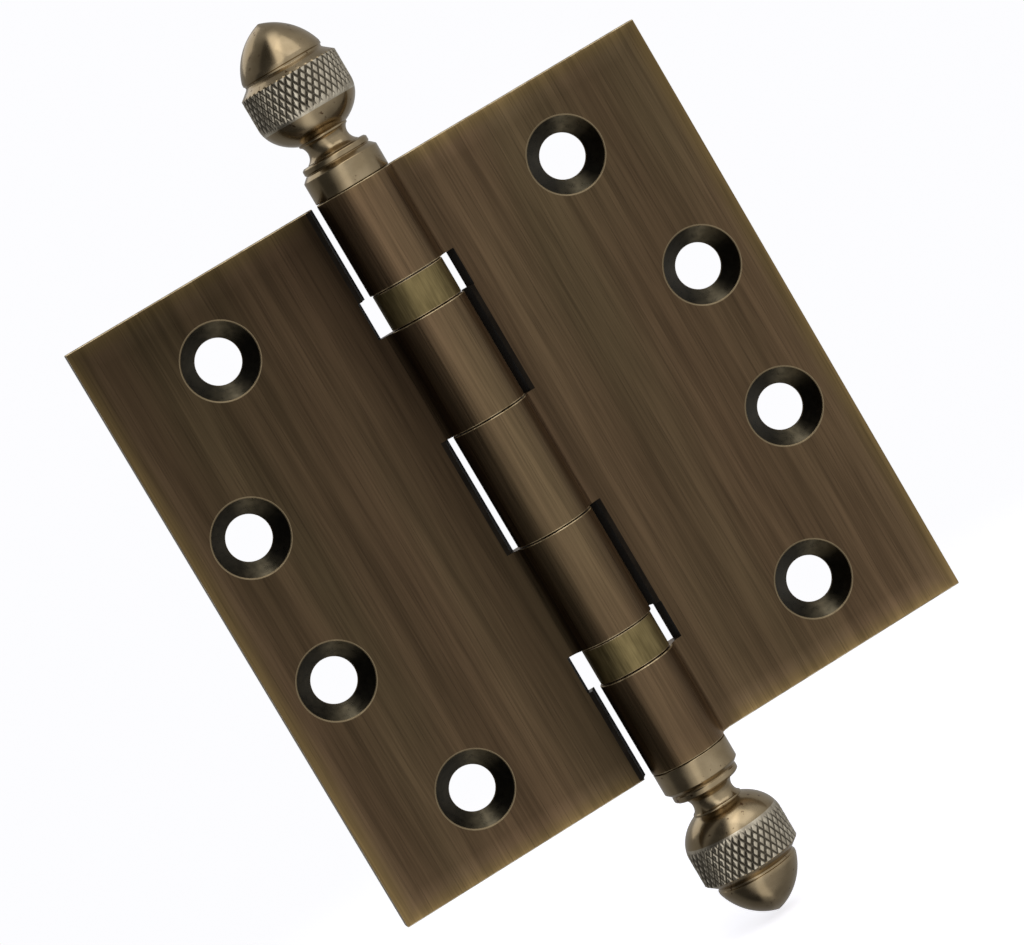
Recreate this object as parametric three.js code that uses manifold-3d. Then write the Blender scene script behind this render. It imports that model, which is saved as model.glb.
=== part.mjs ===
// Ball-bearing butt hinge with acorn finials: two square-cornered leaves laid open flat,
// five knuckles, two ball bearings, and a pin with a finial screwed on each end.
//
// Frame: millimetres. +Z is the pin axis and up, +X runs across the jamb leaf,
// and the countersunk faces look towards -Y. The origin is on the pin axis at mid-height.

import * as THREE from 'three';
import { mergeVertices } from 'three/addons/utils/BufferGeometryUtils.js';
import Module from 'manifold-3d';

// Driving dimensions: the leaves.
const LEAF_HEIGHT = 114.3;
const LEAF_REACH = 57.15; // pin axis to the outer edge
const LEAF_THICKNESS = 3.4;
const FACE_SETBACK = 0.8; // countersunk face behind the pin axis, half the closed clearance
const KNUCKLE_RADIUS = 7.2;
const BORE_RADIUS = 4.03;
const FRONT_FILLET = 2.5;
const BACK_FILLET = 2.0;
const NOTCH_RADIUS = 8.75; // concave edge round the other leaf's knuckle
const BEARING_NOTCH_RADIUS = 9.7; // deeper concave edge round a bearing

// Driving dimensions: heights along the pin, measured from the middle.
const MIDDLE_KNUCKLE_TOP = 11.1;
const KNUCKLE_GAP = 0.2;
const BEARING_BOTTOM = 31.95;
const BEARING_HEIGHT = 7.15;

// Driving dimensions: screw holes, four to a leaf.
const HOLE_SPACING = LEAF_HEIGHT / 4;
const OUTER_HOLE_EDGE = 22.2; // outer edge to the two end holes
const INNER_HOLE_EDGE = 11.2; // outer edge to the two middle holes
const HOLE_RADIUS = 4.1;
const COUNTERSINK_RADIUS = 6.95;
const COUNTERSINK_ANGLE = THREE.MathUtils.degToRad(82);

// Driving dimensions: pin and bearings.
const PIN_RADIUS = 3.95;
const SPIGOT_RADIUS = 3.1;
const SPIGOT_LENGTH = 5.5;
const FINIAL_GAP = 0.1; // knuckle end to finial
const BALLS = 13;
const BALL_RADIUS = 1.19;
const BALL_CIRCLE = 5.2;
const CASING_RADIUS = 6.85;
const CASING_WALL = 0.35;

// Facets round a full turn.
const BARREL_FACETS = 48;
const HOLE_FACETS = 32;
const TURNED_FACETS = 32;
const RACE_FACETS = 28;

const BEARING_TOP = BEARING_BOTTOM + BEARING_HEIGHT;
const LEAF_TOP = LEAF_HEIGHT / 2;
const FACE_FRONT = FACE_SETBACK;
const FACE_BACK = FACE_SETBACK + LEAF_THICKNESS;

const wasm = await Module();
wasm.setup();

// ---------- helpers ----------

function toSolid(geometry) {
  const bare = geometry.clone();
  bare.deleteAttribute('normal');
  bare.deleteAttribute('uv');
  const merged = mergeVertices(bare, 1e-4);
  const mesh = new wasm.Mesh({
    numProp: 3,
    vertProperties: new Float32Array(merged.attributes.position.array),
    triVerts: new Uint32Array(merged.index.array),
  });
  return new wasm.Manifold(mesh);
}

function toGeometry(solid) {
  const mesh = solid.getMesh();
  const geometry = new THREE.BufferGeometry();
  geometry.setAttribute('position', new THREE.BufferAttribute(mesh.vertProperties, 3));
  geometry.setIndex(new THREE.BufferAttribute(mesh.triVerts, 1));
  geometry.computeVertexNormals();
  return geometry;
}

// Points along an arc, both ends included, angles in radians.
function arc(x, y, radius, from, to, steps) {
  return new THREE.EllipseCurve(x, y, radius, radius, from, to, to < from).getPoints(steps);
}

function point(x, y) {
  return new THREE.Vector2(x, y);
}

// A turned piece about Z from a profile of (radius, height) points.
function turned(profile, facets = TURNED_FACETS) {
  return new THREE.LatheGeometry(profile, facets).rotateX(Math.PI / 2);
}

function boxBetween(low, high) {
  const size = high.clone().sub(low);
  const middle = high.clone().add(low).multiplyScalar(0.5);
  return new THREE.BoxGeometry(size.x, size.y, size.z).translate(middle.x, middle.y, middle.z);
}

// ---------- leaves ----------

// Cross-section of a leaf across the pin: round knuckle, fillets and flat plate.
function leafSection() {
  const frontY = FACE_FRONT - FRONT_FILLET;
  const frontX = Math.sqrt((KNUCKLE_RADIUS + FRONT_FILLET) ** 2 - frontY ** 2);
  const backY = FACE_BACK + BACK_FILLET;
  const backX = Math.sqrt((KNUCKLE_RADIUS + BACK_FILLET) ** 2 - backY ** 2);
  const frontAngle = Math.atan2(frontY, frontX);
  const backAngle = Math.atan2(backY, backX);
  const barrelSteps = Math.round(BARREL_FACETS * (1 - (backAngle - frontAngle) / (2 * Math.PI)));
  return new THREE.Shape([
    point(LEAF_REACH, FACE_FRONT),
    ...arc(frontX, frontY, FRONT_FILLET, Math.PI / 2, Math.PI + frontAngle, 6),
    ...arc(0, 0, KNUCKLE_RADIUS, frontAngle, backAngle - 2 * Math.PI, barrelSteps).slice(1),
    ...arc(backX, backY, BACK_FILLET, backAngle - Math.PI, -Math.PI / 2, 5).slice(1),
    point(LEAF_REACH, FACE_BACK),
  ]);
}

// The space a notch takes out of a leaf, from height `low` to height `high`: everything
// within `radius` of the pin axis, and the fillet in front of the face.
function notch(low, high, radius) {
  const gap = new THREE.CylinderGeometry(radius, radius, high - low, BARREL_FACETS);
  gap.rotateX(Math.PI / 2).translate(0, 0, (low + high) / 2);
  const far = -20;
  const filletReach = BEARING_NOTCH_RADIUS + FRONT_FILLET;
  const fillet = boxBetween(
    new THREE.Vector3(far, far, low),
    new THREE.Vector3(filletReach, FACE_FRONT, high),
  );
  return toSolid(gap).add(toSolid(fillet));
}

// Countersunk through hole, opening towards -Y, with its middle at (x, z).
function screwHole(x, z) {
  const slope = Math.tan(COUNTERSINK_ANGLE / 2);
  const coneDepth = (COUNTERSINK_RADIUS - HOLE_RADIUS) / slope;
  const past = 1;
  const profile = [
    point(0, FACE_FRONT - past),
    point(COUNTERSINK_RADIUS + past * slope, FACE_FRONT - past),
    point(HOLE_RADIUS, FACE_FRONT + coneDepth),
    point(HOLE_RADIUS, FACE_BACK + past),
    point(0, FACE_BACK + past),
  ];
  return toSolid(new THREE.LatheGeometry(profile, HOLE_FACETS).translate(x, 0, z));
}

// One leaf reaching along +X. Each notch is [low, high, radius].
function leafGeometry(notches) {
  const blank = new THREE.ExtrudeGeometry(leafSection(), { depth: LEAF_HEIGHT, bevelEnabled: false });
  let solid = toSolid(blank.translate(0, 0, -LEAF_TOP));
  const bore = new THREE.CylinderGeometry(BORE_RADIUS, BORE_RADIUS, LEAF_HEIGHT + 2, BARREL_FACETS);
  solid = solid.subtract(toSolid(bore.rotateX(Math.PI / 2)));
  for (const [low, high, radius] of notches) {
    solid = solid.subtract(notch(low, high, radius));
  }
  for (const step of [-1.5, -0.5, 0.5, 1.5]) {
    const edge = Math.abs(step) > 1 ? OUTER_HOLE_EDGE : INNER_HOLE_EDGE;
    solid = solid.subtract(screwHole(LEAF_REACH - edge, step * HOLE_SPACING));
  }
  return toGeometry(solid);
}

// The jamb leaf has the end knuckles and the middle one.
function jambLeafGeometry() {
  return leafGeometry([
    [MIDDLE_KNUCKLE_TOP, BEARING_TOP, NOTCH_RADIUS],
    [BEARING_BOTTOM, BEARING_TOP, BEARING_NOTCH_RADIUS],
    [-BEARING_TOP, -MIDDLE_KNUCKLE_TOP, NOTCH_RADIUS],
    [-BEARING_TOP, -BEARING_BOTTOM, BEARING_NOTCH_RADIUS],
  ]);
}

// The door leaf has the two knuckles between them.
function doorLeafGeometry() {
  const past = LEAF_TOP + 1;
  const inner = MIDDLE_KNUCKLE_TOP + KNUCKLE_GAP;
  return leafGeometry([
    [-inner, inner, NOTCH_RADIUS],
    [BEARING_BOTTOM, past, NOTCH_RADIUS],
    [BEARING_BOTTOM, BEARING_TOP, BEARING_NOTCH_RADIUS],
    [-past, -BEARING_BOTTOM, NOTCH_RADIUS],
    [-BEARING_TOP, -BEARING_BOTTOM, BEARING_NOTCH_RADIUS],
  ]);
}

// ---------- pin and finials ----------

function pinGeometry() {
  const shoulder = LEAF_TOP + FINIAL_GAP - 0.05;
  const tip = shoulder + SPIGOT_LENGTH;
  const chamfer = 0.5;
  const half = [
    point(PIN_RADIUS, shoulder),
    point(SPIGOT_RADIUS, shoulder),
    point(SPIGOT_RADIUS, tip - chamfer),
    point(SPIGOT_RADIUS - chamfer, tip),
    point(0, tip),
  ];
  const mirrored = half.map((p) => point(p.x, -p.y)).reverse();
  return turned([...mirrored, ...half]);
}

// Acorn finial standing on its collar face at height 0, with a blind socket for the pin.
function finialGeometry() {
  const socketRadius = SPIGOT_RADIUS + 0.12;
  const socketDepth = SPIGOT_LENGTH + 0.5;
  const bandRadius = 9.2;
  const bandBottom = 16.15;
  const bandTop = 21.55;
  const cupHeight = 7.05;
  const cupStart = -Math.acos(4.75 / bandRadius);
  const cup = new THREE.EllipseCurve(0, bandBottom, bandRadius, cupHeight, cupStart, 0).getPoints(6);
  const tipArcRadius = 11.3;
  const tipArcOffset = 3.16;
  const tipArcMiddle = 20.8;
  const tipBase = 24.15;
  const tipFrom = Math.asin((tipBase - tipArcMiddle) / tipArcRadius);
  const tipTo = Math.acos(tipArcOffset / tipArcRadius);
  const tip = arc(-tipArcOffset, tipArcMiddle, tipArcRadius, tipFrom, tipTo, 6);
  tip[tip.length - 1].x = 0;
  return turned([
    point(0, socketDepth),
    point(socketRadius, socketDepth),
    point(socketRadius, 0),
    point(7.15, 0),
    point(7.15, 4.15),
    point(6.4, 4.85),
    point(6.1, 5.05),
    point(6.3, 5.3),
    point(6.3, 6.05),
    point(5.9, 6.35),
    point(4.9, 6.4),
    point(4.2, 6.85),
    point(3.85, 7.95),
    point(4.0, 9.15),
    point(4.4, 9.8),
    point(4.75, 9.95),
    ...cup,
    point(bandRadius, bandTop),
    point(7.6, 22.85),
    point(7.4, 23.0),
    point(7.4, 23.3),
    point(7.65, 23.5),
    ...tip,
  ]);
}

// ---------- bearings ----------

// Brass casing, its lips turned in over the races, standing on height 0.
function casingGeometry() {
  const clear = 0.15;
  const low = clear;
  const high = BEARING_HEIGHT - clear;
  const inner = CASING_RADIUS - CASING_WALL;
  const lip = 6.1;
  const lipThickness = 0.4;
  return turned([
    point(CASING_RADIUS, low),
    point(CASING_RADIUS, high),
    point(lip, high),
    point(lip, high - lipThickness),
    point(inner, high - lipThickness),
    point(inner, low + lipThickness),
    point(lip, low + lipThickness),
    point(lip, low),
    point(CASING_RADIUS, low),
  ]);
}

// Bottom race: a boss that meets the knuckle and a flange with the ball groove.
function raceGeometry() {
  const bore = 4.1;
  const bossRadius = 5.95;
  const flangeRadius = 6.4;
  const bossBottom = 0.05;
  const flangeBottom = 0.7;
  const grooveRadius = BALL_RADIUS + 0.1;
  const ballHeight = BEARING_HEIGHT / 2;
  const flangeTop = ballHeight - 0.775;
  const grooveAngle = Math.asin((ballHeight - flangeTop) / grooveRadius);
  const groove = arc(BALL_CIRCLE, ballHeight, grooveRadius, -grooveAngle, grooveAngle - Math.PI, 5);
  const profile = [
    point(bore, bossBottom),
    point(bossRadius, bossBottom),
    point(bossRadius, flangeBottom),
    point(flangeRadius, flangeBottom),
    point(flangeRadius, flangeTop),
    ...groove,
    point(bore, flangeTop),
    point(bore, bossBottom),
  ];
  return turned(profile, RACE_FACETS);
}

function ballGeometry() {
  return new THREE.SphereGeometry(BALL_RADIUS, 8, 6).rotateX(Math.PI / 2);
}

// ---------- assembly ----------

const agedBrass = { color: 0x54452e, roughness: 0.42, metalness: 1 };
const finialBrass = { color: 0x8a714c, roughness: 0.28, metalness: 1 };
const bearingBrass = { color: 0x8d7a48, roughness: 0.36, metalness: 1 };
const steel = { color: 0x9fa0a0, roughness: 0.3, metalness: 1 };
const polishedSteel = { color: 0xc4c6c8, roughness: 0.12, metalness: 1 };

const hinge = new THREE.Group();

function addPiece(parent, name, geometry, look) {
  const piece = new THREE.Mesh(geometry, new THREE.MeshStandardMaterial(look));
  piece.name = name;
  parent.add(piece);
  return piece;
}

// One bearing: casing, two races and the full ring of balls, with its bottom at `height`.
function addBearing(prefix, height) {
  const bearing = new THREE.Group();
  bearing.position.z = height;
  hinge.add(bearing);
  addPiece(bearing, `${prefix}_bearing_casing`, casingGeometry(), bearingBrass);
  addPiece(bearing, `${prefix}_bearing_bottom_race`, raceGeometry(), steel);
  const topRace = addPiece(bearing, `${prefix}_bearing_top_race`, raceGeometry(), steel);
  topRace.position.z = BEARING_HEIGHT;
  topRace.rotation.x = Math.PI;
  for (let i = 0; i < BALLS; i += 1) {
    const number = String(i + 1).padStart(2, '0');
    const ball = addPiece(bearing, `${prefix}_ball_${number}`, ballGeometry(), polishedSteel);
    const angle = (2 * Math.PI * i) / BALLS;
    ball.position.set(
      BALL_CIRCLE * Math.cos(angle),
      BALL_CIRCLE * Math.sin(angle),
      BEARING_HEIGHT / 2,
    );
  }
}

addPiece(hinge, 'jamb_leaf', jambLeafGeometry(), agedBrass);

const doorLeaf = addPiece(hinge, 'door_leaf', doorLeafGeometry(), agedBrass);
doorLeaf.rotation.y = Math.PI;

addPiece(hinge, 'hinge_pin', pinGeometry(), steel);

const topFinial = addPiece(hinge, 'top_finial', finialGeometry(), finialBrass);
topFinial.position.z = LEAF_TOP + FINIAL_GAP;

const bottomFinial = addPiece(hinge, 'bottom_finial', finialGeometry(), finialBrass);
bottomFinial.position.z = -LEAF_TOP - FINIAL_GAP;
bottomFinial.rotation.x = Math.PI;

addBearing('upper', BEARING_BOTTOM);
addBearing('lower', -BEARING_TOP);

export default hinge;
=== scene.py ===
import math

import bmesh
import bpy
from mathutils import Matrix, Vector


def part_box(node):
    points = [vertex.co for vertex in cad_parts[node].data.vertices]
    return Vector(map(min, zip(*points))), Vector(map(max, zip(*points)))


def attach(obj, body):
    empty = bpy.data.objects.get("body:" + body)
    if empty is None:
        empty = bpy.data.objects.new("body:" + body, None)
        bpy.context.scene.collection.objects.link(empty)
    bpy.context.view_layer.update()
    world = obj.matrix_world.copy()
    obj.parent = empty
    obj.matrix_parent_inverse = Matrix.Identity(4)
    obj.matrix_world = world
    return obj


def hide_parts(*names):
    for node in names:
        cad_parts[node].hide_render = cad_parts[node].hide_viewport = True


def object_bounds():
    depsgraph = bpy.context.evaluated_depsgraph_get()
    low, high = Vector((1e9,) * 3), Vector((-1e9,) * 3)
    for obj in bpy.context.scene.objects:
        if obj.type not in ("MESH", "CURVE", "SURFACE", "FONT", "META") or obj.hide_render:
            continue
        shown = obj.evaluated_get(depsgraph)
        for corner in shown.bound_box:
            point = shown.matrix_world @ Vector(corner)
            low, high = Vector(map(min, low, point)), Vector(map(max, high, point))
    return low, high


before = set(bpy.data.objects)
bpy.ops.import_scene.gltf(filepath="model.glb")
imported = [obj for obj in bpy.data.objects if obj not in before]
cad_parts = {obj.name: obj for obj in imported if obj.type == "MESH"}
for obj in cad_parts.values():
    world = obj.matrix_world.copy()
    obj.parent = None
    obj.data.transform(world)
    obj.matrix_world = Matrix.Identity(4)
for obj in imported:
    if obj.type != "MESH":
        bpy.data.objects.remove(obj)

CAD_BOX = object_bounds()
MM = 0.001

# ---------------------------------------------------------------- sizes, in millimetres

LEAF_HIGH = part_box("jamb_leaf")[1] / MM
LEAF_TOP = LEAF_HIGH.z
LEAF_REACH = LEAF_HIGH.x
FACE_FRONT = 0.8
FACE_BACK = 4.2
KNUCKLE_RADIUS = 7.2
BORE_RADIUS = 4.03
FRONT_FILLET = 2.5
BACK_FILLET = 2.0
NOTCH_RADIUS = 8.75
BEARING_NOTCH_RADIUS = 9.7
MIDDLE_KNUCKLE_TOP = 11.1
KNUCKLE_GAP = 0.2
LEAF_RUB = 0.18
BEARING_BOTTOM = 31.95
BEARING_HEIGHT = 7.15
BEARING_TOP = BEARING_BOTTOM + BEARING_HEIGHT

HOLE_SPACING = LEAF_TOP / 2
HOLE_RADIUS = 4.1
COUNTERSINK_RADIUS = 6.95
COUNTERSINK_SLOPE = math.tan(math.radians(41))
END_HOLE = (LEAF_REACH - 22.2, 1.5 * HOLE_SPACING)
MIDDLE_HOLE = (LEAF_REACH - 11.2, 0.5 * HOLE_SPACING)
HOLES = [
    (END_HOLE[0], -END_HOLE[1]),
    (MIDDLE_HOLE[0], -MIDDLE_HOLE[1]),
    MIDDLE_HOLE,
    END_HOLE,
]

BALL_RADIUS = 1.19
BALL_CIRCLE = 5.2
CASING_RADIUS = 6.85
CASING_WALL = 0.35
CASING_RUB = 0.2

FINIAL_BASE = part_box("top_finial")[0].z / MM
SOCKET_RADIUS = 3.22
SOCKET_DEPTH = 6.0
SPIGOT_RADIUS = 3.1
KNURL_GROOVES = 42
KNURL_DEPTH = 0.28
KNURL_HALF_WIDTH = 0.26
KNURL_HELIX = math.tan(math.radians(30))
BAND_RADIUS = 9.199
CUP_TOP = 16.15
CUP_HEIGHT = 7.05
BAND_BOTTOM = 14.3
BAND_TOP = 21.55
CROWN_FOOT = (7.6, 22.85)

# Material slots after slot 0, which is the plain surface.
RUBBED_EDGE = 1
COUNTERSINK = 2
NOTCH_WALL = 3
KNURLED = 1


# ---------------------------------------------------------------- mesh helpers

def arc(x, y, radius, start, end, steps):
    """Points along an arc, both ends included, angles in radians."""
    angles = [start + (end - start) * i / steps for i in range(steps + 1)]
    return [(x + radius * math.cos(a), y + radius * math.sin(a)) for a in angles]


def rounded(corners):
    """A polyline of (x, y, fillet radius) corners, with each fillet turned into an arc."""
    steps = 4
    points = []
    last = len(corners) - 1
    for i, (x, y, radius) in enumerate(corners):
        if radius == 0 or i in (0, last):
            points.append((x, y))
            continue
        here = Vector((x, y))
        before = (Vector(corners[i - 1][:2]) - here).normalized()
        after = (Vector(corners[i + 1][:2]) - here).normalized()
        half = before.angle(after) / 2
        reach = radius / math.tan(half)
        middle = here + (before + after).normalized() * radius / math.sin(half)
        first = here + before * reach - middle
        turn = first.angle_signed(here + after * reach - middle)
        for k in range(steps + 1):
            spoke = first.copy()
            spoke.rotate(Matrix.Rotation(-turn * k / steps, 2))
            points.append(tuple(middle + spoke))
    return points


def smooth_but_sharp(bm, sharp_angle=40):
    """Smooth shading everywhere but across edges sharper than the angle, in degrees."""
    limit = math.radians(sharp_angle)
    for face in bm.faces:
        face.smooth = True
    for edge in bm.edges:
        edge.smooth = edge.calc_face_angle(0) < limit


def finish_mesh(name, bm, sharp_angle=40, scale=MM):
    """Turns a bmesh in millimetres into an object, in metres unless told to keep its scale."""
    bmesh.ops.recalc_face_normals(bm, faces=bm.faces)
    smooth_but_sharp(bm, sharp_angle)
    bmesh.ops.scale(bm, vec=(scale, scale, scale), verts=bm.verts)
    mesh = bpy.data.meshes.new(name)
    bm.to_mesh(mesh)
    bm.free()
    piece = bpy.data.objects.new(name, mesh)
    bpy.context.scene.collection.objects.link(piece)
    return piece


def revolve(bm, profile, steps, closed=False):
    """Turns a profile of (radius, height) points about Z; a point at radius 0 is one vertex."""
    rings = []
    for radius, height in profile:
        if radius == 0:
            rings.append([bm.verts.new((0, 0, height))] * steps)
            continue
        circle = arc(0, 0, radius, 0, 2 * math.pi, steps)[:-1]
        rings.append([bm.verts.new((x, y, height)) for x, y in circle])
    pairs = list(zip(rings, rings[1:]))
    if closed:
        pairs.append((rings[-1], rings[0]))
    for low, high in pairs:
        for i in range(steps):
            j = (i + 1) % steps
            corners = [low[i], low[j], high[j], high[i]]
            unique = list(dict.fromkeys(corners))
            if len(unique) > 2:
                bm.faces.new(unique)


def turned(name, profile, steps, closed=False, scale=MM):
    """An object turned on the pin axis from a profile of (radius, height) points."""
    bm = bmesh.new()
    revolve(bm, profile, steps, closed)
    return finish_mesh(name, bm, scale=scale)


def weighted_normals(piece):
    """Keeps the flats between small roundings looking flat."""
    normals = piece.modifiers.new("Normals", "WEIGHTED_NORMAL")
    normals.keep_sharp = True
    normals.weight = 60


def rub_edges(piece, width, is_spared=lambda middle: False):
    """Rounds the sharp outer edges and gives them the piece's second material."""
    bm = bmesh.new()
    bm.from_mesh(piece.data)
    weight = bm.edges.layers.float.new("bevel_weight_edge")
    for edge in bm.edges:
        middle = (edge.verts[0].co + edge.verts[1].co) / 2
        rubbed = edge.is_convex and not edge.smooth and not is_spared(middle)
        edge[weight] = 1.0 if rubbed else 0.0
    bm.to_mesh(piece.data)
    bm.free()
    bevel = piece.modifiers.new("Edges", "BEVEL")
    bevel.width = width * MM
    bevel.segments = 3
    bevel.limit_method = "WEIGHT"
    bevel.use_clamp_overlap = False
    bevel.material = RUBBED_EDGE
    bevel.harden_normals = True


def place(piece, height, flipped=False):
    """Moves a piece's mesh to its height in millimetres, turned end for end if asked."""
    move = Matrix.Translation((0, 0, height * MM))
    if flipped:
        move = move @ Matrix.Rotation(math.pi, 4, "X")
    piece.data.transform(move)


def assign(piece, *materials):
    for material in materials:
        piece.data.materials.append(material)


def adopt(piece, body, slot, *nodes):
    """Lets a piece ride its body and stand for its CAD nodes; the slot is not used."""
    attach(piece, body)
    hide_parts(*nodes)


# ---------------------------------------------------------------- material helpers

class Nodes:
    """A node tree, built a node at a time."""

    def __init__(self, tree):
        self.tree = tree

    def node(self, kind, **settings):
        made = self.tree.nodes.new(kind)
        for key, value in settings.items():
            setattr(made, key, value)
        return made

    def connect(self, source, target):
        self.tree.links.new(source, target)

    def value(self, socket, source):
        """Feeds a socket from another socket or sets it to a constant."""
        if isinstance(source, bpy.types.NodeSocket):
            self.connect(source, socket)
        else:
            socket.default_value = source

    def math(self, operation, a, b=0.0):
        made = self.node("ShaderNodeMath", operation=operation)
        self.value(made.inputs[0], a)
        self.value(made.inputs[1], b)
        return made.outputs[0]

    def axes(self, vector):
        split = self.node("ShaderNodeSeparateXYZ")
        self.connect(vector, split.inputs[0])
        return split.outputs

    def span(self, source, low, high):
        """Turns the stretch from low to high into 0 to 1, held there outside it."""
        made = self.node("ShaderNodeMapRange")
        self.connect(source, made.inputs["Value"])
        made.inputs["From Min"].default_value = low
        made.inputs["From Max"].default_value = high
        return made.outputs[0]

    def ramp(self, source, stops, interpolation="LINEAR"):
        """Colour ramp from (position, linear colour) stops."""
        made = self.node("ShaderNodeValToRGB")
        made.color_ramp.interpolation = interpolation
        elements = made.color_ramp.elements
        while len(elements) < len(stops):
            elements.new(0.5)
        for element, (position, colour) in zip(elements, stops):
            element.position = position
            element.color = (*colour, 1.0)
        self.connect(source, made.inputs[0])
        return made.outputs[0]

    def eased(self, source, low, high, stops):
        """A level that eases between (place, level) stops, low and high being the last places."""
        grey = [((place - low) / (high - low), (level,) * 3) for place, level in stops]
        return self.ramp(self.span(source, low, high), grey, "EASE")


class Shader(Nodes):
    """A node material with a Principled surface."""

    def __init__(self, name):
        self.material = bpy.data.materials.new(name)
        self.material.use_nodes = True
        super().__init__(self.material.node_tree)
        self.surface = self.tree.nodes["Principled BSDF"]
        self.surface.inputs["Metallic"].default_value = 1.0

    def smooth_step(self, source, low, high, to_low=0.0, to_high=1.0):
        made = self.node("ShaderNodeMapRange", interpolation_type="SMOOTHSTEP")
        self.value(made.inputs["Value"], source)
        made.inputs["From Min"].default_value = low
        made.inputs["From Max"].default_value = high
        made.inputs["To Min"].default_value = to_low
        made.inputs["To Max"].default_value = to_high
        return made.outputs[0]

    def position(self):
        """Object coordinates in metres, the same as the frame's coordinates at rest."""
        return self.node("ShaderNodeTexCoord").outputs["Object"]

    def from_axis(self, x, y):
        """Distance from the pin axis."""
        squares = [self.math("MULTIPLY", side, side) for side in (x, y)]
        return self.math("SQRT", self.math("ADD", *squares))

    def noise(self, vector, cell, detail=2.0):
        """Noise whose features measure `cell` = (x, y, z) millimetres."""
        mapping = self.node("ShaderNodeMapping")
        mapping.inputs["Scale"].default_value = [1 / (size * MM) for size in cell]
        self.connect(vector, mapping.inputs["Vector"])
        made = self.node("ShaderNodeTexNoise")
        made.inputs["Scale"].default_value = 1.0
        made.inputs["Detail"].default_value = detail
        self.connect(mapping.outputs[0], made.inputs["Vector"])
        return made.outputs["Fac"]

    def levels(self, source, low, high, stops, unit=MM):
        """A level read off (place, level) stops, with the places in the given unit."""
        top = max(level for place, level in stops)
        grey = [((place - low) / (high - low), (level / top,) * 3) for place, level in stops]
        along = self.span(source, low * unit, high * unit)
        return self.math("MULTIPLY", self.ramp(along, grey), top)

    def mix(self, factor, a, b, blend="MIX"):
        made = self.node("ShaderNodeMix", data_type="RGBA", blend_type=blend)
        self.value(made.inputs["Factor"], factor)
        for socket, source in ((made.inputs[6], a), (made.inputs[7], b)):
            self.value(socket, (*source, 1.0) if isinstance(source, tuple) else source)
        return made.outputs[2]

    def shaded(self, colour, level):
        """A colour made lighter or darker by a level."""
        grey = self.node("ShaderNodeCombineColor")
        for socket in grey.inputs:
            self.connect(level, socket)
        return self.mix(1.0, colour, grey.outputs[0], "MULTIPLY")

    def bump(self, height, depth, strength):
        """Bump whose full height range stands for `depth` millimetres."""
        made = self.node("ShaderNodeBump")
        made.inputs["Strength"].default_value = strength
        made.inputs["Distance"].default_value = depth * MM
        self.connect(height, made.inputs["Height"])
        self.connect(made.outputs[0], self.surface.inputs["Normal"])

    def grain(self, axis, turn=0.25):
        """Brushing lines along an axis of the piece; turn 0 makes the lines cross it."""
        along = self.node("ShaderNodeVectorTransform", vector_type="VECTOR")
        along.convert_from = "OBJECT"
        along.convert_to = "WORLD"
        along.inputs[0].default_value = axis
        self.connect(along.outputs[0], self.surface.inputs["Tangent"])
        self.surface.inputs["Anisotropic Rotation"].default_value = turn

    def set(self, **inputs):
        """Principled sockets by name, with _ for a space."""
        for key, source in inputs.items():
            socket = self.surface.inputs[key.replace("_", " ")]
            if isinstance(source, tuple):
                source = (*source, 1.0)
            self.value(socket, source)


# ---------------------------------------------------------------- materials

def to_leaf_end(look, z):
    """Distance from the top or bottom of the leaves."""
    return look.math("SUBTRACT", LEAF_TOP * MM, look.math("ABSOLUTE", z))


def leaf_wear_and_painted_light(look, x, z):
    """Over the leaves: how light they are, with 1 as the mean, from rubbing and from painted
    shade and highlight, and how rubbed they are.
    """
    to_side = look.math("SUBTRACT", LEAF_REACH * MM, look.math("ABSOLUTE", x))
    to_edge = look.math("MINIMUM", to_side, to_leaf_end(look, z))
    by_edge = look.levels(to_edge, 0, 10, [
        (0, 2.0), (0.4, 1.85), (0.9, 1.5), (1.6, 1.35), (2.5, 1.25), (5, 1.0), (10, 1.0),
    ])
    from_foot = look.math("ADD", z, LEAF_TOP * MM)
    by_foot = look.levels(from_foot, 0, 20, [
        (0, 1.4), (2.5, 1.28), (5, 1.12), (10, 1.0), (20, 1.0),
    ])
    on_plate = look.smooth_step(look.math("ABSOLUTE", x), 8 * MM, 12 * MM, 0.2, 1.0)
    lighter = look.math("SUBTRACT", look.math("MULTIPLY", by_edge, by_foot), 1.0)
    lighter = look.math("ADD", 1.0, look.math("MULTIPLY", lighter, on_plate))
    # Painted shade and highlight across the pin: dark painted shade in the hollows beside the
    # knuckles, a painted highlight on the knuckles, strongest on their +X flank, and the jamb
    # leaf painted a little lighter than the door leaf.
    across = look.levels(x, -60, 60, [
        (-57, 0.95), (-16, 0.95), (-12.5, 0.62), (-10, 0.45), (-8.7, 0.42), (-8.1, 1.1),
        (-7.2, 1.7), (6.0, 1.75), (6.8, 2.9), (7.6, 2.7), (8.3, 1.15), (9.6, 0.88), (11, 0.93),
        (13.5, 1.12), (20, 1.15), (57, 1.08),
    ])
    # Painted shade on the door leaf only: darker towards its top, a little lighter towards its
    # foot.
    along = look.levels(z, -60, 60, [
        (-57, 1.1), (-40, 1.08), (-10, 0.95), (15, 0.85), (40, 0.72), (50, 0.60), (57, 0.53),
    ])
    on_door = look.smooth_step(x, -9 * MM, -7 * MM, 1.0, 0.0)
    along = look.math("MULTIPLY", on_door, look.math("SUBTRACT", along, 1.0))
    along = look.math("ADD", 1.0, along)
    shade = look.math("MULTIPLY", lighter, look.math("MULTIPLY", across, along))
    rubbed = look.math("MULTIPLY", look.smooth_step(to_edge, 0.0, 3.5 * MM, 1.0, 0.0), on_plate)
    return shade, rubbed


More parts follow.
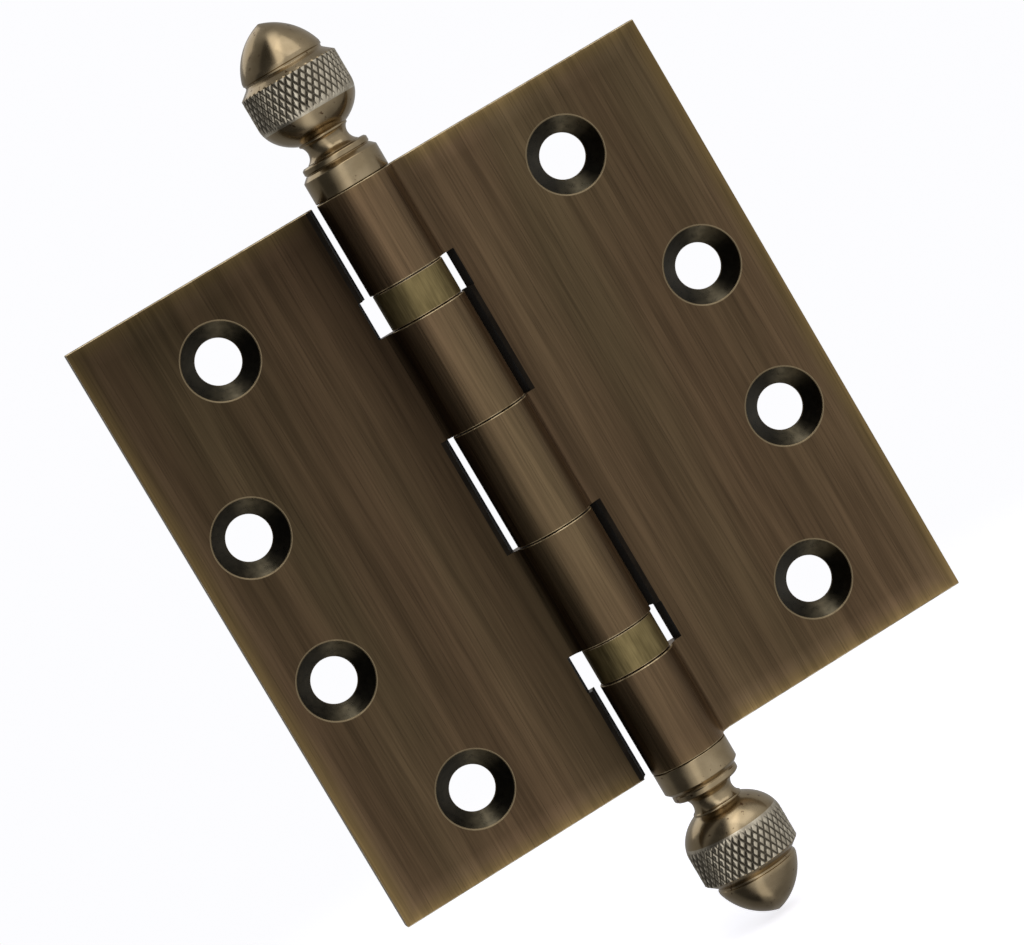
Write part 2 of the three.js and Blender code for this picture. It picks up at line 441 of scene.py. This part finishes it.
def leaf_brass():
    """Dark antique brass brushed along the pin, rubbed golden towards the outer edges, with
    painted shade and painted highlight by the knuckles and on the door leaf.
    """
    look = Shader("leaf_brass")
    place_at = look.position()
    fine = look.noise(place_at, (0.28, 0.28, 14.0), detail=3.0)
    coarse = look.noise(place_at, (1.6, 1.6, 45.0))
    stripe = look.noise(place_at, (9.0, 9.0, 140.0), detail=1.0)
    hue = look.noise(place_at, (16.0, 16.0, 90.0), detail=1.0)
    base = look.ramp(hue, [
        (0.30, (0.101, 0.064, 0.036)),
        (0.50, (0.102, 0.067, 0.037)),
        (0.70, (0.099, 0.069, 0.037)),
    ])
    golden = (0.104, 0.071, 0.030)
    lines = look.math("ADD", look.math("MULTIPLY", fine, 0.5), look.math("MULTIPLY", coarse, 0.5))
    lines = look.smooth_step(lines, 0.3, 0.7, 0.72, 1.28)
    broad = look.smooth_step(stripe, 0.3, 0.7, 0.84, 1.16)
    x, y, z = look.axes(place_at)
    # Rubbing, painted shade and painted highlight over the leaves.
    shade, rubbed = leaf_wear_and_painted_light(look, x, z)
    shade = look.math("MULTIPLY", shade, look.math("MULTIPLY", lines, broad))
    look.set(
        Base_Color=look.shaded(look.mix(rubbed, base, golden), shade),
        Roughness=look.smooth_step(fine, 0.3, 0.7, 0.27, 0.38),
        Anisotropic=0.3,
    )
    look.grain((0.0, 0.0, 1.0))
    look.bump(fine, 0.02, 0.35)
    return look.material


def edge_brass():
    """Brass rubbed bright along the sharp edges, less so round the screw holes."""
    look = Shader("edge_brass")
    place_at = look.position()
    patch = look.noise(place_at, (2.0, 2.0, 5.0), detail=3.0)
    x, y, z = look.axes(place_at)
    margin = 1 * MM
    from_pin = look.math("ABSOLUTE", x)
    round_hole = look.math("LESS_THAN", from_pin, LEAF_REACH * MM - margin)
    on_plate = look.math("GREATER_THAN", from_pin, 20 * MM)
    round_hole = look.math("MULTIPLY", round_hole, on_plate)
    off_end = look.math("GREATER_THAN", to_leaf_end(look, z), margin)
    round_hole = look.math("MULTIPLY", round_hole, off_end)
    bright = look.ramp(patch, [
        (0.35, (0.36, 0.27, 0.150)),
        (0.65, (0.78, 0.63, 0.400)),
    ])
    look.set(
        Base_Color=look.mix(round_hole, bright, (0.26, 0.20, 0.12)),
        Roughness=look.smooth_step(patch, 0.3, 0.7, 0.42, 0.55),
    )
    return look.material


def turn_about_hole(look, place_at):
    """Degrees round the nearest screw hole: 0 towards +X, 90 towards the foot."""
    x, y, z = look.axes(place_at)
    (end_x, end_z), (middle_x, middle_z) = END_HOLE, MIDDLE_HOLE
    halfway = (end_z + middle_z) / 2 * MM
    at_end = look.math("GREATER_THAN", look.math("ABSOLUTE", z), halfway)
    from_hole = []
    for along, middle, end in ((x, middle_x, end_x), (z, middle_z, end_z)):
        hole = look.math("ADD", middle * MM, look.math("MULTIPLY", at_end, (end - middle) * MM))
        hole = look.math("MULTIPLY", look.math("SIGN", along), hole)
        from_hole.append(look.math("SUBTRACT", along, hole))
    down = look.math("MULTIPLY", from_hole[1], -1.0)
    return look.math("MULTIPLY", look.math("ARCTAN2", down, from_hole[0]), 180 / math.pi)


def countersink_brass_with_painted_highlights():
    """Turned cone of a countersink, nearly black, with painted fans of highlight and shade round
    the hole.
    """
    look = Shader("countersink_brass_with_painted_highlights")
    place_at = look.position()
    patch = look.noise(place_at, (1.2, 1.2, 1.2), detail=3.0)
    # Painted highlight and shade: lighter and darker fans at fixed angles round each hole, for
    # the light that turned rings would catch.
    fans = look.levels(turn_about_hole(look, place_at), -180, 180, [
        (-180, 0.7), (-150, 0.9), (-110, 0.75), (-90, 0.9), (-62, 2.6), (-38, 2.2), (-15, 0.4),
        (0, 0.22), (60, 0.22), (82, 1.2), (98, 2.0), (115, 1.2), (140, 0.5), (180, 0.7),
    ], unit=1)
    base = look.ramp(patch, [
        (0.35, (0.066, 0.057, 0.039)),
        (0.65, (0.092, 0.078, 0.052)),
    ])
    look.set(
        Base_Color=look.shaded(base, fans),
        Roughness=look.smooth_step(patch, 0.3, 0.7, 0.27, 0.31),
        Anisotropic=0.7,
    )
    look.grain((0.0, 1.0, 0.0), turn=0.0)
    return look.material


def notch_wall_painted_shade():
    """Walls of the notches, painted near black as shade, dull and barely reflecting."""
    look = Shader("notch_wall_painted_shade")
    patch = look.noise(look.position(), (1.5, 1.5, 4.0), detail=3.0)
    # Painted shade: near-black colour for the shade down in the notches.
    look.set(
        Base_Color=look.ramp(patch, [
            (0.35, (0.008, 0.006, 0.004)),
            (0.65, (0.016, 0.012, 0.008)),
        ]),
        Roughness=look.smooth_step(patch, 0.3, 0.7, 0.5, 0.65),
        Metallic=0.0,
        Specular_IOR_Level=0.04,
    )
    return look.material


def bearing_brass():
    """Yellower brass of the bearing casings, drawn along the axis."""
    look = Shader("bearing_brass")
    place_at = look.position()
    fine = look.noise(place_at, (0.25, 0.25, 5.0), detail=3.0)
    patch = look.noise(place_at, (2.5, 2.5, 6.0))
    streaks = look.math("MULTIPLY", look.math("ADD", fine, patch), 0.5)
    look.set(
        Base_Color=look.ramp(streaks, [
            (0.35, (0.170, 0.130, 0.056)),
            (0.65, (0.340, 0.265, 0.120)),
        ]),
        Roughness=look.smooth_step(fine, 0.3, 0.7, 0.42, 0.54),
    )
    look.bump(fine, 0.02, 0.3)
    return look.material


def finial_brass():
    """Polished bronze-brown brass with small darker patina spots."""
    look = Shader("finial_brass")
    place_at = look.position()
    cloud = look.noise(place_at, (4.0, 4.0, 4.0), detail=3.0)
    speck = look.noise(place_at, (1.1, 1.1, 1.1))
    base = look.ramp(cloud, [
        (0.35, (0.350, 0.268, 0.160)),
        (0.65, (0.440, 0.345, 0.215)),
    ])
    spots = look.smooth_step(speck, 0.66, 0.74)
    look.set(
        Base_Color=look.mix(spots, base, (0.12, 0.065, 0.03)),
        Roughness=look.smooth_step(cloud, 0.3, 0.7, 0.16, 0.24),
    )
    return look.material


def knurl_brass():
    """Knurled band: worn diamonds, with dark patina left down in the grooves."""
    look = Shader("knurl_brass")
    place_at = look.position()
    x, y, z = look.axes(place_at)
    cup_top = (FINIAL_BASE + CUP_TOP) * MM
    below = look.math("SUBTRACT", cup_top, look.math("ABSOLUTE", z))
    below = look.math("DIVIDE", look.math("MAXIMUM", below, 0.0), CUP_HEIGHT * MM)
    round_off = look.math("SQRT", look.math("SUBTRACT", 1.0, look.math("MULTIPLY", below, below)))
    plain = look.math("MULTIPLY", round_off, BAND_RADIUS * MM)
    depth = look.math("SUBTRACT", plain, look.from_axis(x, y))
    worn = look.smooth_step(depth, 0.0, KNURL_DEPTH * 0.8 * MM, 1.0, 0.0)
    patch = look.noise(place_at, (1.6, 1.6, 1.6))
    crest = look.ramp(patch, [
        (0.35, (0.500, 0.440, 0.340)),
        (0.65, (0.700, 0.630, 0.500)),
    ])
    look.set(
        Base_Color=look.mix(worn, (0.115, 0.100, 0.075), crest),
        Roughness=look.smooth_step(worn, 0.0, 1.0, 0.5, 0.26),
    )
    return look.material


def steel(name, dark, light, roughness, cell):
    """Ground or polished steel, with the faint marks of its finishing."""
    look = Shader(name)
    marks = look.noise(look.position(), cell, detail=3.0)
    look.set(
        Base_Color=look.ramp(marks, [(0.35, dark), (0.65, light)]),
        Roughness=look.smooth_step(marks, 0.3, 0.7, roughness, roughness * 1.5),
    )
    return look.material


# ---------------------------------------------------------------- leaves

def leaf_section():
    """Outline across the pin: plate, front fillet, round knuckle, back fillet."""
    front_y = FACE_FRONT - FRONT_FILLET
    front_x = math.sqrt((KNUCKLE_RADIUS + FRONT_FILLET) ** 2 - front_y ** 2)
    back_y = FACE_BACK + BACK_FILLET
    back_x = math.sqrt((KNUCKLE_RADIUS + BACK_FILLET) ** 2 - back_y ** 2)
    front_angle = math.atan2(front_y, front_x)
    back_angle = math.atan2(back_y, back_x)
    return (
        [(LEAF_REACH, FACE_FRONT)]
        + arc(front_x, front_y, FRONT_FILLET, math.pi / 2, math.pi + front_angle, 16)
        + arc(0, 0, KNUCKLE_RADIUS, front_angle, back_angle - 2 * math.pi, 120)[1:]
        + arc(back_x, back_y, BACK_FILLET, back_angle - math.pi, -math.pi / 2, 12)[1:]
        + [(LEAF_REACH, FACE_BACK)]
    )


def prism(name, outline, low, high):
    """A solid in millimetres: an outline of (x, y) points raised from one height to another."""
    bm = bmesh.new()
    bottom = bm.faces.new([bm.verts.new((x, y, low)) for x, y in outline])
    raised = bmesh.ops.extrude_face_region(bm, geom=[bottom])["geom"]
    moved = [item for item in raised if isinstance(item, bmesh.types.BMVert)]
    bmesh.ops.translate(bm, vec=(0, 0, high - low), verts=moved)
    return finish_mesh(name, bm, scale=1)


def cylinder_cutter(radius, low, high):
    circle = arc(0, 0, radius, 0, 2 * math.pi, 96)[:-1]
    return prism("cylinder_cutter", circle, low, high)


def gap_outline():
    """A knuckle's gap seen along the pin, with the fillet milled off in front of it."""
    far = 12
    start = math.asin(FACE_FRONT / NOTCH_RADIUS)
    notch = arc(0, 0, NOTCH_RADIUS, start, 1.5 * math.pi, 72)
    return notch + [(0, -far), (far, -far), (far, FACE_FRONT)]


def notch_cutters(gaps):
    """The concave gaps round the other leaf's knuckles and, deeper, round the bearings.
    Gaps are (low, high) heights."""
    cutters = [prism("gap_cutter", gap_outline(), low, high) for low, high in gaps]
    for low in (BEARING_BOTTOM, -BEARING_TOP):
        cutters.append(cylinder_cutter(BEARING_NOTCH_RADIUS, low, low + BEARING_HEIGHT))
    return cutters


def hole_cutter(x, z):
    past = 1.0
    cone_depth = (COUNTERSINK_RADIUS - HOLE_RADIUS) / COUNTERSINK_SLOPE
    cutter = turned("hole_cutter", [
        (0, past - FACE_FRONT),
        (COUNTERSINK_RADIUS + past * COUNTERSINK_SLOPE, past - FACE_FRONT),
        (HOLE_RADIUS, -FACE_FRONT - cone_depth),
        (HOLE_RADIUS, -FACE_BACK - past),
        (0, -FACE_BACK - past),
    ], steps=96, scale=1)
    to_hole = Matrix.Translation((x, 0, z)) @ Matrix.Rotation(math.pi / 2, 4, "X")
    cutter.data.transform(to_hole)
    return cutter


def cut(piece, cutters):
    """Subtracts the cutters from a piece, one after another, and deletes them."""
    for cutter in cutters:
        step = piece.modifiers.new("Cut", "BOOLEAN")
        step.operation = "DIFFERENCE"
        step.solver = "EXACT"
        step.object = cutter
    bpy.context.view_layer.update()
    evaluated = piece.evaluated_get(bpy.context.evaluated_depsgraph_get())
    mesh = bpy.data.meshes.new_from_object(evaluated)
    piece.modifiers.clear()
    piece.data = mesh
    for cutter in cutters:
        bpy.data.objects.remove(cutter)


def is_countersink(face):
    centre = face.calc_center_median()
    from_hole = min(math.hypot(centre.x - x, centre.z - z) for x, z in HOLES)
    return from_hole < COUNTERSINK_RADIUS and abs(face.normal.y) < 0.95


def is_notch_wall(face):
    centre = face.calc_center_median()
    in_plate = FACE_FRONT < centre.y < FACE_BACK
    upright = abs(face.normal.z) < 0.5
    beside_knuckle = 8 < math.hypot(centre.x, centre.y) < BEARING_NOTCH_RADIUS
    return in_plate and upright and beside_knuckle


def tidy_cut_mesh(mesh):
    """Marks sharp edges and picks out the countersinks and the dark walls of the notches."""
    bm = bmesh.new()
    bm.from_mesh(mesh)
    bmesh.ops.remove_doubles(bm, verts=bm.verts, dist=1e-4)
    smooth_but_sharp(bm)
    for face in bm.faces:
        if is_countersink(face):
            face.material_index = COUNTERSINK
        if is_notch_wall(face):
            face.material_index = NOTCH_WALL
    bm.to_mesh(mesh)
    bm.free()


def is_by_knuckle(point):
    """True in the notches and at the ends of the fillets there, which nothing rubs."""
    from_pin = math.hypot(point.x, point.y) / MM
    in_notch = KNUCKLE_RADIUS + 0.05 < from_pin < BEARING_NOTCH_RADIUS + 0.5
    return in_notch and abs(point.z) < (LEAF_TOP - 0.1) * MM


def make_leaf(name, gaps, flipped):
    piece = prism(name, leaf_section(), -LEAF_TOP, LEAF_TOP)
    bore = cylinder_cutter(BORE_RADIUS, -LEAF_TOP - 1, LEAF_TOP + 1)
    cut(piece, [bore] + notch_cutters(gaps) + [hole_cutter(x, z) for x, z in HOLES])
    piece.data.name = name
    tidy_cut_mesh(piece.data)
    piece.data.transform(Matrix.Scale(MM, 4))
    if flipped:
        piece.data.transform(Matrix.Rotation(math.pi, 4, "Y"))
    rub_edges(piece, LEAF_RUB, is_by_knuckle)
    return piece


def make_leaves():
    looks = (leaf_brass(), edge_brass(), countersink_brass_with_painted_highlights(), notch_wall_painted_shade())
    past = LEAF_TOP + 1
    inner = MIDDLE_KNUCKLE_TOP + KNUCKLE_GAP
    in_bearing = (BEARING_BOTTOM + BEARING_TOP) / 2
    jamb_gaps = [(MIDDLE_KNUCKLE_TOP, in_bearing), (-in_bearing, -MIDDLE_KNUCKLE_TOP)]
    door_gaps = [(-inner, inner), (in_bearing, past), (-past, -in_bearing)]
    jamb = make_leaf("jamb_leaf_brushed", jamb_gaps, flipped=False)
    door = make_leaf("door_leaf_brushed", door_gaps, flipped=True)
    assign(jamb, *looks)
    assign(door, *looks)
    adopt(jamb, "jamb", "leaf_brass", "jamb_leaf")
    adopt(door, "door", "leaf_brass", "door_leaf")


# ---------------------------------------------------------------- pin and finials

def make_pin():
    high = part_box("hinge_pin")[1]
    pin_radius = high.x / MM
    tip = high.z / MM
    shoulder = FINIAL_BASE - 0.05
    half = rounded([
        (pin_radius, 0, 0),
        (pin_radius, shoulder, 0.2),
        (SPIGOT_RADIUS, shoulder, 0),
        (SPIGOT_RADIUS, tip, 0.5),
        (0, tip, 0),
    ])
    profile = [(r, -z) for r, z in reversed(half)] + half[1:]
    pin = turned("pin_ground", profile, steps=96)
    weighted_normals(pin)
    ground = steel("pin_steel", (0.42, 0.42, 0.42), (0.6, 0.6, 0.6), 0.22, (6.0, 6.0, 0.15))
    assign(pin, ground)
    adopt(pin, "pin", "pin_steel", "hinge_pin")


def knurl_radius(turn, height):
    """Radius of the knurl: two crossing sets of V grooves leave flat-topped diamonds."""
    lead = KNURL_HELIX / BAND_RADIUS
    depth = 0.0
    for way in (-1, 1):
        phase = (turn + way * lead * height) * KNURL_GROOVES / (2 * math.pi)
        from_groove = abs(phase - round(phase))
        depth = max(depth, 1 - from_groove / KNURL_HALF_WIDTH)
    return BAND_RADIUS - KNURL_DEPTH * depth


def finial_foot():
    """Profile of the collar, the cove and the bead over it, from the foot up."""
    collar = rounded([
        (SOCKET_RADIUS, 0, 0),
        (7.15, 0, 0.18),
        (7.15, 4.15, 0.25),
        (6.4, 4.85, 0.08),
        (6.12, 5.05, 0.06),
        (6.3, 5.3, 0.15),
        (6.3, 6.1, 0.3),
        (5.9, 6.4, 0.1),
        (4.9, 6.45, 0.25),
    ])
    cove = arc(5.95, 8.3, 2.05, math.pi * 1.33, math.pi * 0.72, 14)
    bead = arc(4.35, 9.95, 0.33, -math.pi * 0.4, math.pi * 0.45, 8)
    return collar + cove + bead


def finial_cup():
    """Profile of the round cup, from the bead up to the knurled band."""
    cup_from = -math.acos(4.6 / BAND_RADIUS)
    steps = 28
    angles = [cup_from * (1 - i / steps) for i in range(steps + 1)]
    cup = [(BAND_RADIUS * math.cos(a), CUP_TOP + CUP_HEIGHT * math.sin(a)) for a in angles]
    return [point for point in cup if point[1] < BAND_BOTTOM]


def finial_crown():
    """Profile of the groove over the band and the dome, up to the point."""
    dome_foot = 24.15
    groove = rounded([
        (*CROWN_FOOT, 0),
        (7.4, 23.1, 0.1),
        (7.45, 23.4, 0.08),
        (7.65, 23.6, 0.15),
        (7.63, dome_foot, 0),
    ])
    dome_radius = 11.3
    beyond_axis = 3.16
    dome_middle = 20.8
    start = math.asin((dome_foot - dome_middle) / dome_radius)
    end = math.acos(beyond_axis / dome_radius)
    dome = arc(-beyond_axis, dome_middle, dome_radius, start, end, 40)
    point = (0, dome[-1][1])
    return groove + dome[1:-1] + [point]


def band_base(height):
    """Plain radius of the finial under the knurl: cup, straight band and chamfer."""
    if height < CUP_TOP:
        return BAND_RADIUS * math.sqrt(1 - ((CUP_TOP - height) / CUP_HEIGHT) ** 2)
    if height <= BAND_TOP:
        return BAND_RADIUS
    chamfer = (height - BAND_TOP) / (CROWN_FOOT[1] - BAND_TOP)
    return BAND_RADIUS + (CROWN_FOOT[0] - BAND_RADIUS) * chamfer


def band_heights():
    """Heights of the rings of the band and of the chamfer over it."""
    band_rows, chamfer_rows = 52, 8
    band = [BAND_BOTTOM + (BAND_TOP - BAND_BOTTOM) * i / band_rows for i in range(band_rows)]
    rise = CROWN_FOOT[1] - BAND_TOP
    return band + [BAND_TOP + rise * i / chamfer_rows for i in range(chamfer_rows)]


def cut_knurl(bm):
    """Sinks the points of the band and its chamfer into the grooves of the knurl."""
    for vert in bm.verts:
        if BAND_BOTTOM <= vert.co.z < CROWN_FOOT[1]:
            radius = math.hypot(vert.co.x, vert.co.y)
            turn = math.atan2(vert.co.y, vert.co.x)
            cut_to = min(1.0, knurl_radius(turn, vert.co.z) / radius)
            vert.co.x *= cut_to
            vert.co.y *= cut_to


def make_finial(name, node, looks, flipped):
    socket = [(0, SOCKET_DEPTH), (SOCKET_RADIUS, SOCKET_DEPTH)]
    band = [(band_base(height), height) for height in band_heights()]
    bm = bmesh.new()
    profile = socket + finial_foot() + finial_cup() + band + finial_crown()
    revolve(bm, profile, steps=KNURL_GROOVES * 10)
    cut_knurl(bm)
    for face in bm.faces:
        if BAND_BOTTOM < face.calc_center_median().z < BAND_TOP:
            face.material_index = KNURLED
    finial = finish_mesh(name, bm, sharp_angle=35)
    place(finial, -FINIAL_BASE if flipped else FINIAL_BASE, flipped)
    weighted_normals(finial)
    assign(finial, *looks)
    adopt(finial, "pin", "finial_brass", node)


def make_finials():
    looks = (finial_brass(), knurl_brass())
    make_finial("top_finial_turned", "top_finial", looks, flipped=False)
    make_finial("bottom_finial_turned", "bottom_finial", looks, flipped=True)


# ---------------------------------------------------------------- bearings

def is_casing_lip(point):
    """True on the inner edges of a casing, hidden behind the races' rims."""
    return math.hypot(point.x, point.y) < (CASING_RADIUS - CASING_WALL + 0.05) * MM


def make_casing(prefix, base, body, looks):
    low, lip_top = 0.15, 0.55
    lip = 6.1
    inner = CASING_RADIUS - CASING_WALL
    half = [(inner, lip_top), (lip, lip_top), (lip, low), (CASING_RADIUS, low)]
    upper = [(r, BEARING_HEIGHT - z) for r, z in reversed(half)]
    casing = turned(prefix + "_casing_ring", half + upper, steps=128, closed=True)
    place(casing, base)
    rub_edges(casing, CASING_RUB, is_casing_lip)
    assign(casing, *looks)
    adopt(casing, body, "bearing_brass", prefix + "_bearing_casing")


def make_race(prefix, side, base, body, look):
    """A race with a ball groove; the top one is the bottom one turned over."""
    bore, rim, flange = 4.1, 5.95, 6.4
    middle = BEARING_HEIGHT / 2
    groove_radius = BALL_RADIUS + 0.03
    below_middle = 0.775
    flange_top = middle - below_middle
    angle = math.asin((middle - flange_top) / groove_radius)
    groove = arc(BALL_CIRCLE, middle, groove_radius, -angle, angle - math.pi, 14)
    profile = rounded([
        (bore, 1.2, 0),
        (bore, 0.05, 0.1),
        (rim, 0.05, 0.1),
        (rim, 0.7, 0.05),
        (flange, 0.7, 0.08),
        (flange, flange_top, 0.08),
        (*groove[0], 0),
    ]) + groove[1:] + [(bore, flange_top)]
    race = turned(f"{prefix}_{side}_race_ground", profile, steps=112, closed=True)
    top = side == "top"
    place(race, base + BEARING_HEIGHT if top else base, flipped=top)
    weighted_normals(race)
    assign(race, look)
    adopt(race, body, "race_steel", f"{prefix}_bearing_{side}_race")


def make_balls(prefix, look):
    """One polished ball for each ball node, at its node's middle."""
    nodes = sorted(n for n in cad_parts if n.startswith(prefix + "_ball_"))
    for node in nodes:
        low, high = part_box(node)
        bm = bmesh.new()
        bmesh.ops.create_icosphere(bm, subdivisions=3, radius=BALL_RADIUS)
        bmesh.ops.translate(bm, vec=(low + high) / (2 * MM), verts=bm.verts)
        ball = finish_mesh(node + "_polished", bm)
        assign(ball, look)
        adopt(ball, prefix + "_balls", "ball_steel", node)


def make_bearings():
    brass = (bearing_brass(), edge_brass())
    ground = ((0.45, 0.45, 0.45), (0.62, 0.62, 0.62), 0.2, (0.2, 0.2, 4.0))
    polished = ((0.66, 0.67, 0.68), (0.78, 0.79, 0.8), 0.07, (0.8, 0.8, 0.8))
    race_look = steel("race_steel", *ground)
    ball_look = steel("ball_steel", *polished)
    upper = BEARING_BOTTOM
    lower = -BEARING_TOP
    make_casing("upper", upper, "door", brass)
    make_casing("lower", lower, "jamb", brass)
    make_race("upper", "bottom", upper, "door", race_look)
    make_race("upper", "top", upper, "jamb", race_look)
    make_race("lower", "bottom", lower, "jamb", race_look)
    make_race("lower", "top", lower, "door", race_look)
    make_balls("upper", ball_look)
    make_balls("lower", ball_look)


# ---------------------------------------------------------------- stage, lights and camera

def floor_paint():
    """Pale paint that fades out away from the hinge."""
    look = Shader("floor_paint")
    place_at = look.position()
    grain = look.noise(place_at, (3.0, 3.0, 3.0))
    x, y, z = look.axes(place_at)
    look.set(
        Base_Color=look.ramp(grain, [(0.3, (0.80, 0.80, 0.82)), (0.7, (0.83, 0.83, 0.85))]),
        Metallic=0.0,
        Roughness=0.8,
        Emission_Color=(0.95, 0.95, 1.0),
        Emission_Strength=0.72,
        Alpha=look.smooth_step(look.from_axis(x, y), 0.08, 0.3, 1.0, 0.0),
    )
    return look.material


def make_floor():
    """Pale floor disc just under the hinge, which the polished brass does not reflect."""
    radius = 1200
    below = 0.5
    bm = bmesh.new()
    bmesh.ops.create_circle(bm, cap_ends=True, segments=96, radius=radius)
    bmesh.ops.translate(bm, vec=(0, 0, CAD_BOX[0].z / MM - below), verts=bm.verts)
    floor = finish_mesh("floor", bm)
    assign(floor, floor_paint())
    floor.visible_glossy = False


def strip_light(studio, direction):
    """A bright strip that leans over in front of the hinge, brighter towards its top."""
    strip_plane = (-0.947, 0.272, 0.170)
    x, y, z = studio.axes(direction)
    off_strip = studio.node("ShaderNodeVectorMath", operation="DOT_PRODUCT")
    studio.connect(direction, off_strip.inputs[0])
    off_strip.inputs[1].default_value = strip_plane
    strip = studio.eased(off_strip.outputs["Value"], -1, 1, [
        (-0.30, 0.0), (-0.12, 1.0), (0.05, 1.0), (0.20, 0.0),
    ])
    in_front = studio.eased(y, -1, 1, [(-0.2, 1.0), (0.3, 0.0)])
    level = studio.eased(z, -1, 1, [(-1, 0.15), (0, 0.12), (0.5, 0.30), (1, 0.35)])
    return studio.math("MULTIPLY", studio.math("MULTIPLY", strip, in_front), level)


def studio_light(studio, direction):
    """The light that falls on the brass: a dark side to the left, a broad soft light in
    front and to the right, dimmer behind."""
    lean = 25.0
    x, y, z = studio.axes(direction)
    azimuth = studio.math("ARCTAN2", x, studio.math("MULTIPLY", y, -1.0))
    degrees = studio.math("MULTIPLY", azimuth, 180 / math.pi)
    leaning = studio.math("SUBTRACT", degrees, studio.math("MULTIPLY", z, lean))
    around = studio.eased(leaning, -205, 205, [
        (-205, 0.33), (-140, 0.25), (-100, 0.17), (-84, 0.058), (-52, 0.058), (-40, 0.25),
        (-27, 0.55), (2, 0.58), (25, 0.62), (50, 0.58), (75, 0.44), (110, 0.33), (150, 0.33),
        (205, 0.33),
    ])
    upward = studio.eased(z, -1, 1, [
        (-1, 0.22), (-0.5, 0.28), (-0.25, 0.36), (0, 0.34), (0.25, 0.36), (0.6, 0.34), (1, 0.34),
    ])
    strength = 4.0
    level = studio.math("MULTIPLY", around, upward)
    level = studio.math("ADD", level, strip_light(studio, direction))
    return studio.math("MULTIPLY", level, strength)


def make_surroundings():
    """White all round as the camera sees it, and a soft studio light as the brass sees it."""
    world = bpy.data.worlds.new("studio")
    bpy.context.scene.world = world
    world.use_nodes = True
    studio = Nodes(world.node_tree)
    direction = studio.node("ShaderNodeTexCoord").outputs["Generated"]
    lit = studio.node("ShaderNodeBackground")
    studio.connect(studio_light(studio, direction), lit.inputs["Strength"])
    seen = studio.tree.nodes["Background"]
    seen.inputs["Color"].default_value = (0.98, 0.98, 1.0, 1.0)
    seen.inputs["Strength"].default_value = 1.0
    mixed = studio.node("ShaderNodeMixShader")
    studio.connect(studio.node("ShaderNodeLightPath").outputs["Is Camera Ray"], mixed.inputs[0])
    studio.connect(lit.outputs[0], mixed.inputs[1])
    studio.connect(seen.outputs[0], mixed.inputs[2])
    studio.connect(mixed.outputs[0], studio.tree.nodes["World Output"].inputs["Surface"])


def soft_box(name, place_at):
    """A large square light aimed at the middle of the hinge."""
    side = 0.9
    light = bpy.data.lights.new(name, "AREA")
    light.shape = "RECTANGLE"
    light.size = side
    light.size_y = side
    light.energy = 1.6
    box = bpy.data.objects.new(name, light)
    box.location = place_at
    towards = -Vector(place_at)
    box.rotation_euler = towards.to_track_quat("-Z", "Y").to_euler()
    box.visible_camera = False
    bpy.context.scene.collection.objects.link(box)


def make_lights():
    soft_box("high_right", (0.55, -0.6, 1.0))
    soft_box("high_back", (-0.4, 0.9, 0.9))


def make_camera():
    """Long lens at the photo's angle, rolled so that the pin leans to the left."""
    camera = bpy.data.cameras.new("camera")
    camera.sensor_width = 36.0
    camera.lens = 151.2
    camera.clip_end = 20.0
    place_at = Vector((-113.8, -729.0, 71.1)) * MM
    forward = Vector((0.1515, 0.9839, -0.095)).normalized()
    right = Vector((0.8439, -0.1788, -0.5058))
    right = (right - right.dot(forward) * forward).normalized()
    up = right.cross(forward)
    turn = Matrix((right, up, -forward)).transposed().to_4x4()
    seen = bpy.data.objects.new("camera", camera)
    seen.matrix_world = Matrix.Translation(place_at) @ turn
    bpy.context.scene.collection.objects.link(seen)
    bpy.context.scene.camera = seen


make_camera()
make_leaves()
make_pin()
make_finials()
make_bearings()
make_floor()
make_surroundings()
make_lights()

view = bpy.context.scene.view_settings
view.view_transform = "Standard"
view.look = "None"
